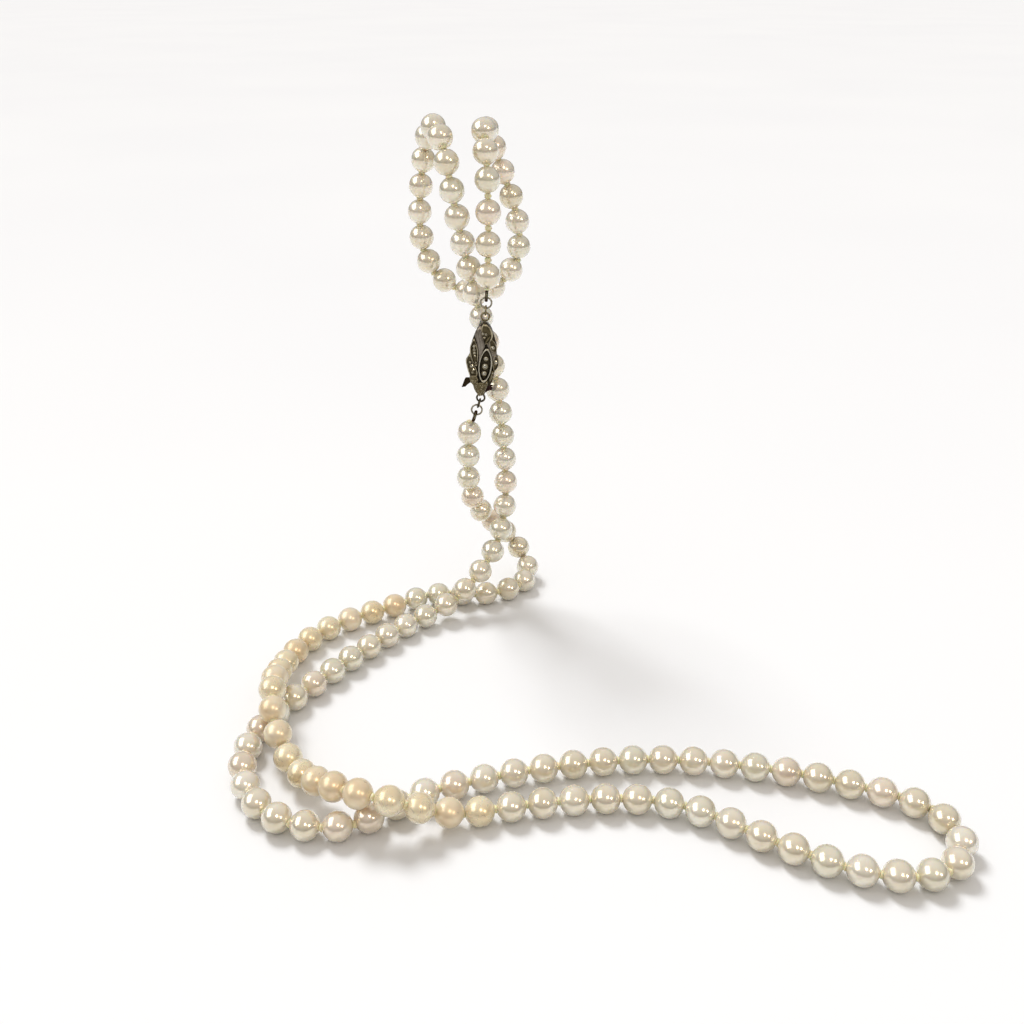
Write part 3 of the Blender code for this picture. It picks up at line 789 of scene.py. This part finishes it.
def navette_outline(share):
    """The navette's outline, moved in by a share of its half width."""
    centre_x, centre_z = NAVETTE_CENTRE
    inset = share * NAVETTE_HALF_WIDTH
    half_length, half_width = NAVETTE_HALF_LENGTH - 1.7 * inset, NAVETTE_HALF_WIDTH - inset
    right = []
    for step in range(NAVETTE_STEPS):
        t = pi * step / NAVETTE_STEPS
        right.append((half_width * sin(t) ** 1.25, half_length * cos(t)))
    points = right + [(-x, -z) for x, z in right]
    cosine, sine = cos(NAVETTE_LEAN), sin(NAVETTE_LEAN)
    return [(centre_x + x * cosine + z * sine, centre_z - x * sine + z * cosine)
            for x, z in points]


def outline_scaled(outline, centre, share):
    return [tuple(c + (p - c) * share for p, c in zip(point, centre)) for point in outline]


BASE_OUTLINE = (
    (0.0, 10.8), (1.1, 10.2), (2.2, 8.8), (2.8, 7.4), (3.1, 6.4), (3.6, 5.2), (3.7, 3.9),
    (3.6, 2.9), (4.1, 1.7), (4.5, -0.2), (4.2, -1.6), (3.4, -2.8), (3.4, -4.2), (2.7, -5.4),
    (2.0, -6.4), (1.7, -7.6), (1.2, -9.2), (0.4, -10.6), (-0.4, -10.6), (-1.4, -9.6),
    (-2.1, -8.2), (-2.7, -7.2), (-3.4, -6.0), (-3.5, -5.0), (-4.0, -3.6), (-4.3, -2.0),
    (-4.6, -0.2), (-4.2, 1.2), (-3.6, 2.2), (-3.7, 4.0), (-3.2, 6.0), (-2.75, 7.5),
    (-2.15, 8.9), (-1.1, 10.2),
)


def add_front_base(material):
    """The scalloped plate that the leaves are raised on, domed, with a rounded edge."""
    outline = [(p.x, p.y) for p in catmull_rom((*BASE_OUTLINE, BASE_OUTLINE[0]), 4)[:-1]]
    bm = bmesh.new()
    rings = []
    for share, edge_y in ((0.955, PLATE_BACK_Y), (0.985, -1.08), (0.985, -1.35), (0.96, -1.45)):
        rings.append(ring_at(bm, outline_scaled(outline, (0.0, 0.0), share), edge_y))
    for share in (0.88, 0.75, 0.6, 0.45, 0.3, 0.15, 0.05):
        shape = outline_scaled(outline, (0.0, 0.0), share)
        rings.append([bm.verts.new((x, dome(x, z), z)) for x, z in shape])
    bridge_capped(bm, rings)
    front_piece("front_plate_base", bm, material, 0.05, ("clasp_front_plate",), 50.0)


def add_bead(bm, radius, depth, place):
    """A small ball, its depth a share of its width."""
    made = bmesh.ops.create_icosphere(bm, subdivisions=2, radius=radius)
    for vertex in made["verts"]:
        vertex.co = vertex.co * Vector((1.0, depth, 1.0)) + place


def add_grains(name, left, right, height, spacing, radius, seed, material):
    """Grains of silver melted on to the relief between two edges, with bare patches between."""
    rng = random.Random(seed)
    bm = bmesh.new()
    left_curve = catmull_rom(left, 12)
    right_curve = catmull_rom(right, 12)
    rows = int((left_curve[0] - left_curve[-1]).length / (0.85 * spacing))
    for row in range(1, rows):
        v = row / rows
        a = left_curve[round(v * (len(left_curve) - 1))]
        b = right_curve[round(v * (len(right_curve) - 1))]
        count = max(1, int((b - a).length * 0.86 / spacing))
        for column in range(count):
            share = 0.07 + 0.86 * (column + 0.5 + rng.uniform(-0.2, 0.2)) / count
            size = radius * rng.uniform(0.7, 1.25)
            if rng.random() < BARE_SHARE:
                continue
            point = a.lerp(b, share)
            y = dome(point.x, point.y) - height(2 * share - 1, v)[0] - 0.15 * size
            add_bead(bm, size, 0.8, Vector((point.x, y, point.y)))
    front_piece(name, bm, material, 0.5)


def rose_cut(bm, centre, radius, height, turn, oval=1.0):
    """A low faceted stone: a girdle, six kite facets and six crown facets that meet in a point."""
    def ring(count, share, rise, shift):
        made = []
        for part in turns(count):
            angle = turn + shift + part
            offset = Vector((radius * share * cos(angle), -height * rise,
                             radius * share * oval * sin(angle)))
            made.append(bm.verts.new(centre + offset))
        return made

    base = ring(12, 1.0, -0.25, 0.0)
    girdle = ring(12, 1.0, 0.22, 0.0)
    crown = ring(6, 0.58, 0.78, pi / 12)
    apex = bm.verts.new(centre - Vector((0.0, height, 0.0)))
    bm.faces.new(base)
    bridge(bm, [base, girdle])
    for step in range(6):
        a, b, c = girdle[2 * step], girdle[2 * step + 1], girdle[(2 * step + 2) % 12]
        here, there = crown[step], crown[(step + 1) % 6]
        for corners in ((a, b, here), (b, there, here), (b, c, there), (here, there, apex)):
            bm.faces.new(corners)


def collar(bm, centre, radius, wire, oval=1.0):
    """The thin ring that holds a stone, with four bead prongs pushed over its edge."""
    rings = []
    for turn in turns(COLLAR_STEPS):
        out = Vector((cos(turn), 0.0, sin(turn) * oval))
        rings.append(wire_section(bm, centre + radius * out, out.normalized(),
                                  1.3 * Y_AXIS, wire, 8))
    bridge_round(bm, rings)
    reach = 0.94 * radius
    for quarter in turns(4):
        turn = pi / 4 + quarter
        shift = Vector((reach * cos(turn), -wire, reach * oval * sin(turn)))
        add_bead(bm, wire * 1.45, 1.0, centre + shift)


def add_stone(name, place, radius, stone, silver, nodes=(), turn=0.3, oval=1.0):
    centre = Vector(place)
    stone_data = bmesh.new()
    rose_cut(stone_data, centre, radius, radius * 0.62, turn, oval)
    front_piece(f"{name}_stone", stone_data, stone, None, nodes, 8.0, "marcasite")
    collar_data = bmesh.new()
    collar(collar_data, centre, radius * 1.1, max(0.07, radius * 0.16), oval)
    front_piece(f"{name}_collar", collar_data, silver, 0.6)


def add_navette(bright, dark):
    """The pointed oval rim, rounded on top and flared at its foot, round a sunk dark floor."""
    sections = (
        (1.0, -1.7), (1.0, -2.35), (0.985, -2.75), (0.955, -2.94), (0.9, -3.0), (0.84, -2.95),
        (0.80, -2.8), (0.785, -2.5), (0.785, -2.25), (0.785, -1.7),
    )
    bm = bmesh.new()
    layer = bm.verts.layers.float.new("wear")
    rings = [ring_at(bm, navette_outline(1.0 - share), y) for share, y in sections]
    for vertex in bm.verts:
        vertex[layer] = min(1.0, max(0.0, (-2.3 - vertex.co.y) / 0.55))
    bridge_round(bm, rings)
    front_piece("navette_rim", bm, bright, None, ("navette_bezel",), 50.0, "bright_silver")
    floor_data = bmesh.new()
    outline = navette_outline(0.215)
    rings = []
    for share, y in ((1.0, -1.75), (1.0, -2.28), (0.9, -2.36), (0.6, -2.4), (0.2, -2.42)):
        rings.append(ring_at(floor_data, outline_scaled(outline, NAVETTE_CENTRE, share), y))
    bridge_capped(floor_data, rings)
    front_piece("navette_floor", floor_data, dark, 0.0, (), 60.0)


def add_clasp_front(metals, stone):
    silver, dark = metals["cast_silver"], metals["oxidised_recess"]
    add_front_base(dark)
    for name, left, right, rim, floor, lift in PETALS:
        bm = strip_between(left, right, 28, 26, petal_height(rim, floor, lift))
        front_piece(f"leaf_{name}", bm, silver)
    for name, (left, right, height, metal) in RELIEFS.items():
        front_piece(f"relief_{name}", strip_between(left, right, 24, 22, height), metals[metal])
    for name, relief, spacing, radius, seed in GRAINS:
        add_grains(f"grains_{name}", *RELIEFS[relief][:3], spacing, radius, seed, silver)
    add_navette(metals["polished_silver"], dark)
    for name, along, radius in NAVETTE_STONES:
        x = NAVETTE_CENTRE[0] + along * sin(NAVETTE_LEAN)
        z = NAVETTE_CENTRE[1] + along * cos(NAVETTE_LEAN)
        add_stone(f"navette_{name}", (x, -2.5, z), radius * 0.86, stone, silver,
                  (f"marcasite_{name}",))
    for number, (x, z, radius) in enumerate(SMALL_STONES, 1):
        add_stone(f"leaf_{number:02d}", (x, dome(x, z) - 0.42, z), radius, stone, silver,
                  turn=0.4 * number)
    add_stone("leaf_oval", (3.6, dome(3.6, -0.1) - 0.45, -0.1), 0.5, stone, silver, oval=1.35)


# ---- clasp box and tongue

# Heights and half widths
HOUSING_OUTLINE = (
    (10.5, 0.6), (9.3, 1.7), (7.0, 2.7), (4.0, 3.5), (0.0, 3.9), (-4.0, 3.4), (-7.6, 2.25),
)
HOUSING_FRONT_Y = -0.9
HOUSING_BACK_Y = 1.75
CAVITY_HALF_WIDTH = 1.7
CAVITY_TOP = 7.0
CAVITY_BACK_Y = 1.3
MOUTH_Z = -7.6
TAB_NOTCH_TOP = -4.4
TAB_NOTCH_BACK_Y = 0.6
BLADE_OUTLINE = (
    (-1.3, 6.0), (-1.3, -7.75), (-1.9, -8.2), (-1.6, -9.3), (-1.2, -10.3), (-0.9, -11.1),
    (0.9, -11.1), (1.2, -10.4), (1.8, -9.9), (2.5, -9.6), (3.0, -9.4), (3.2, -8.9),
    (3.1, -8.5), (2.9, -8.25), (3.2, -8.15), (3.4, -7.85), (3.2, -7.9), (1.3, -7.75), (1.3, 6.0),
)
BLADE_FRONT_Y = 0.75
BLADE_BACK_Y = 1.1
LEAF_OUTLINE = (
    (-1.3, 5.7), (-1.3, -4.9), (-3.3, -5.6), (-4.6, -5.7), (-5.0, -6.6), (-5.6, -8.6),
    (-4.6, -8.4), (-3.4, -7.2), (-1.3, -6.7), (-0.8, -7.2), (0.8, -7.2), (1.3, -6.7), (1.3, 5.7),
)
LEAF_THICKNESS = 0.3
LEAF_HINGE = (0.5, 5.7)
LEAF_SLOPE = 0.0775
EDGE_ROUNDING = 0.09


def prism(outline, front_y, back_y):
    bm = bmesh.new()
    bridge_capped(bm, [ring_at(bm, outline, y) for y in (front_y, back_y)])
    return bm


def apply_modifiers(obj):
    """Puts the evaluated mesh in the object's place."""
    graph = bpy.context.evaluated_depsgraph_get()
    mesh = bpy.data.meshes.new_from_object(obj.evaluated_get(graph))
    obj.modifiers.clear()
    obj.data = mesh


def round_edges(obj):
    modifier = obj.modifiers.new("rounded_edges", "BEVEL")
    modifier.width = EDGE_ROUNDING * MM
    modifier.segments = 3
    modifier.limit_method = "ANGLE"
    modifier.angle_limit = radians(30.0)
    apply_modifiers(obj)


def cut_out(obj, hollows):
    """Takes box-shaped hollows out of a piece of the clasp."""
    cutters = []
    for (left, front, bottom), (right, back, top) in hollows:
        outline = ((left, bottom), (right, bottom), (right, top), (left, top))
        bm = prism(outline, front, back)
        to_metres(bm, CLASP)
        cutters.append(linked_object("hollow", bm))
        modifier = obj.modifiers.new("hollow", "BOOLEAN")
        modifier.operation = "DIFFERENCE"
        modifier.solver = "EXACT"
        modifier.object = cutters[-1]
    bpy.context.view_layer.update()
    apply_modifiers(obj)
    for cutter in cutters:
        bpy.data.objects.remove(cutter, do_unlink=True)


def add_housing(material):
    """The box behind the front: rounded back edges, a mouth for the tongue, a notch for its tab."""
    left = [(-half, height) for height, half in reversed(HOUSING_OUTLINE)]
    right = [(half, height) for height, half in HOUSING_OUTLINE]
    outline = [(p.x, p.y) for p in catmull_rom(right + left, 3)]
    bm = bmesh.new()
    rings = []
    for share, y in ((1.0, HOUSING_FRONT_Y), (1.0, 1.2), (0.985, 1.45), (0.955, 1.62),
                     (0.91, 1.71), (0.86, HOUSING_BACK_Y)):
        shape = [(x * share, z * (0.5 + share / 2) if z > MOUTH_Z + 0.3 else z)
                 for x, z in outline]
        rings.append(ring_at(bm, shape, y))
    bridge_capped(bm, rings)
    housing = front_piece("housing_box", bm, material, 0.15, ("clasp_housing",), 35.0)
    cavity = ((-CAVITY_HALF_WIDTH, HOUSING_FRONT_Y - 1, MOUTH_Z - 1),
              (CAVITY_HALF_WIDTH, CAVITY_BACK_Y, CAVITY_TOP))
    notch = ((-6.0, HOUSING_FRONT_Y - 1, MOUTH_Z - 1), (0.0, TAB_NOTCH_BACK_Y, TAB_NOTCH_TOP))
    cut_out(housing, (cavity, notch))
    shade(housing, 35.0)


def add_tongue(blade_metal, leaf_metal):
    blade_data = prism(BLADE_OUTLINE, BLADE_FRONT_Y, BLADE_BACK_Y)
    round_edges(add_piece("tongue_plate", blade_data, blade_metal, STRAND, "oxidised_silver",
                          CLASP, 0.15, ("tongue_blade",), 40.0))
    hinge_y, hinge_z = LEAF_HINGE
    leaf_data = prism(LEAF_OUTLINE, hinge_y - LEAF_THICKNESS / 2, hinge_y + LEAF_THICKNESS / 2)
    for vertex in leaf_data.verts:
        vertex.co.y += LEAF_SLOPE * (vertex.co.z - hinge_z)
    round_edges(add_piece("spring_leaf_plate", leaf_data, leaf_metal, "spring_leaf",
                          "oxidised_silver", CLASP, 0.1, ("tongue_spring_leaf",), 40.0))


# ---- findings

def wire_ring(ring, plane, height, opening=0.0, around=72, sides=16, stretch=1.0, start=0.0):
    """A bent wire in a frame's XZ plane ("Y") or YZ plane ("X"), closed, or cut by an opening."""
    ring_radius, wire_radius = ring
    bm = bmesh.new()
    rings = []
    for step in range(around + (opening > 0.0)):
        turn = start + opening / 2 + (2 * pi - opening) * step / around
        out = Vector((cos(turn), 0.0, sin(turn)))
        middle = Vector((ring_radius * out.x, 0.0, stretch * ring_radius * out.z))
        wear = 1.0 + 0.03 * sin(3 * turn + 1.0)
        rings.append(wire_section(bm, middle, out, Y_AXIS, wire_radius * wear, sides))
    if opening:
        bridge_capped(bm, rings)
    else:
        bridge_round(bm, rings)
    if plane == "X":
        bmesh.ops.rotate(bm, cent=(0, 0, 0), verts=bm.verts,
                         matrix=Matrix.Rotation(pi / 2, 3, "Z"))
    bmesh.ops.translate(bm, vec=(0.0, 0.0, height), verts=bm.verts)
    return bm


def bullion_coil():
    """Fine wire coiled round the silk's end loop, in the YZ plane along +Z."""
    coil_radius = BULLION_WIRE - COILED_WIRE
    bm = bmesh.new()
    rings = []
    for turn in turns(BULLION_TURNS * COIL_STEPS):
        wind = BULLION_TURNS * turn
        out = Vector((0.0, cos(turn), sin(turn)))
        loop = Vector((0.0, BULLION_HALF_WIDTH * out.y,
                       BULLION_DISTANCE + BULLION_HALF_LENGTH * out.z))
        offset = out * cos(wind) + X_AXIS * sin(wind)
        ahead = Vector((0.0, -BULLION_HALF_WIDTH * out.z, BULLION_HALF_LENGTH * out.y))
        swing = (X_AXIS * cos(wind) - out * sin(wind)) * coil_radius
        along = (ahead + swing * BULLION_TURNS).normalized()
        rings.append(wire_section(bm, loop + coil_radius * offset, offset,
                                  along.cross(offset).normalized(), COILED_WIRE, 6))
    bridge_round(bm, rings)
    return bm


def silk_core():
    """The silk inside the bullion coil, which shows between its turns."""
    ring = (BULLION_HALF_WIDTH, BULLION_WIRE * 0.62)
    stretch = BULLION_HALF_LENGTH / BULLION_HALF_WIDTH
    return wire_ring(ring, "X", BULLION_DISTANCE, 0.0, 48, 10, stretch)


def add_chain(prefix, chain, end_body, dull, metals, silk):
    """Eye, link, jump ring and bullion loop, along +Z of a frame at the eye's centre."""
    def part(name, bm, metal, body, wear, node, crease, slot="bright_silver"):
        add_piece(f"{prefix}_{name}", bm, metal, body, slot, chain, wear, (f"{prefix}_{node}",),
                  crease)

    link = wire_ring(LINK_RING, "X", LINK_DISTANCE, WIRE_JOINT, start=pi)
    jump = wire_ring(JUMP_RING, "Y", JUMP_DISTANCE, WIRE_JOINT, start=0.4)
    part("eye_ring", wire_ring(EYE_RING, "Y", 0.0), dull, end_body, 0.35, "eye", SMOOTH)
    part("link_ring", link, dull, f"{prefix}_link", 0.3, "link", 60.0)
    part("jump_wire", jump, metals["polished_silver"], f"{prefix}_jump_ring", 0.55, "jump_ring",
         60.0)
    part("bullion_coil", bullion_coil(), metals["tarnished_bullion"], end_body, 0.2,
         "bullion_loop", SMOOTH, "bullion_wire")
    add_piece(f"{prefix}_bullion_silk", silk_core(), silk, end_body, "silk_thread", chain)


# ---- room

FLOOR_CELLS = 12
FLOOR_REACH = 9.0
LIGHT_AIM = (0.02, -0.05, -0.07)
# Lamps: name, direction, way of the long side, distance, size, power, colour
LAMPS = (
    ("softbox", (-0.70, -0.06, 0.66), (0.2, 0.98, 0.28), 2.2, (1.25, 2.25), 22.5,
     (1.0, 0.985, 0.96)),
    ("warm_lamp_near", (0.19, -0.63, 0.75), (0.0, 0.7, 0.7), 2.6, (0.34, 0.52), 14.0,
     (1.0, 0.86, 0.66)),
    ("warm_lamp_far", (0.65, -0.57, 0.49), (0.0, 0.7, 0.7), 2.8, (0.38, 0.42), 12.0,
     (1.0, 0.84, 0.62)),
)


def add_floor():
    """A wide pale tabletop, divided so that it stays a grid of near-square faces."""
    bm = bmesh.new()
    bmesh.ops.create_grid(bm, x_segments=FLOOR_CELLS, y_segments=FLOOR_CELLS, size=FLOOR_REACH)
    bmesh.ops.translate(bm, vec=(0.0, 0.0, cad_low.z), verts=bm.verts)
    material, tree, shader = start_material("pale_floor", (0.87, 0.875, 0.885), 0.55, 0.0)
    cloud = noise_field(tree, object_place(tree), 3.0)
    tones = ((0.3, (0.86, 0.865, 0.88)), (0.7, (0.88, 0.885, 0.895)))
    feed(shader, "Base Color", colour_ramp(tree, cloud, tones))
    shader.inputs["Specular IOR Level"].default_value = 0.2
    floor = linked_object("floor", bm)
    floor.data.materials.append(material)


def add_area_light(name, direction, long_way, distance, size, power, colour):
    """A soft rectangular light, there for its reflection in the pearls."""
    data = bpy.data.lights.new(name, "AREA")
    data.shape = "RECTANGLE"
    data.size, data.size_y = size
    data.energy = power
    data.color = colour
    light = link_new(name, data)
    light.visible_diffuse = False
    towards = Vector(direction).normalized()
    upright = Vector(long_way) - Vector(long_way).dot(towards) * towards
    upright.normalize()
    turn = Matrix((upright.cross(towards), upright, towards)).transposed().to_4x4()
    light.matrix_world = Matrix.Translation(Vector(LIGHT_AIM) + towards * distance) @ turn


def add_world():
    """A soft room: a darker band round the horizon, lighter overhead."""
    world = bpy.data.worlds.new("room")
    world.use_nodes = True
    tree = world.node_tree
    coordinates = tree.nodes.new("ShaderNodeTexCoord")
    split = tree.nodes.new("ShaderNodeSeparateXYZ")
    feed(split, "Vector", coordinates.outputs["Generated"])
    colour = colour_ramp(tree, split.outputs["Z"], (
        (0.0, (0.27, 0.257, 0.238)), (0.12, (0.26, 0.247, 0.228)), (0.28, (0.48, 0.455, 0.42)),
        (0.6, (0.70, 0.665, 0.625)), (1.0, (0.75, 0.72, 0.69)),
    ))
    feed(tree.nodes["Background"], "Color", colour)
    bpy.context.scene.world = world


def add_lights():
    """The lamps, and broad light from the softbox's side that keeps the whole tabletop pale."""
    for lamp in LAMPS:
        add_area_light(*lamp)
    data = bpy.data.lights.new("fill_sun", "SUN")
    data.energy = 2.05
    data.angle = radians(20.0)
    data.color = (0.985, 1.0, 1.02)
    light = link_new("fill_sun", data)
    light.rotation_mode = "QUATERNION"
    light.rotation_quaternion = Vector((-0.31, 0.48, 0.74)).to_track_quat("Z", "Y")
    light.visible_glossy = False
    bpy.context.scene.view_settings.view_transform = "Standard"


# ---- the necklace

def build():
    add_camera()
    nacres = make_nacres()
    silk = make_silk()
    metals = {name: worn_metal(name, *values) for name, values in METALS.items()}
    add_clasp_front(metals, make_stone())
    add_housing(metals["oxidised_recess"])
    add_tongue(metals["tarnished_tongue"], metals["tarnished_tab"])
    add_chain("upper", UPPER_CHAIN, HOUSING, metals["cast_silver"], metals, silk)
    add_chain("lower", LOWER_CHAIN, STRAND, metals["oxidised_recess"], metals, silk)
    threads = []
    for prefix, body, chain, route, gaps, end_pearls, satin in STRANDS:
        centres, bends = strand(chain, route, gaps)
        add_strand_pearls(prefix, centres, bends, end_pearls, nacres, body, satin)
        threads.append((prefix, bends, gaps, silk, body))
    for thread in threads:
        add_silk(*thread)
    add_floor()
    add_world()
    add_lights()


build()
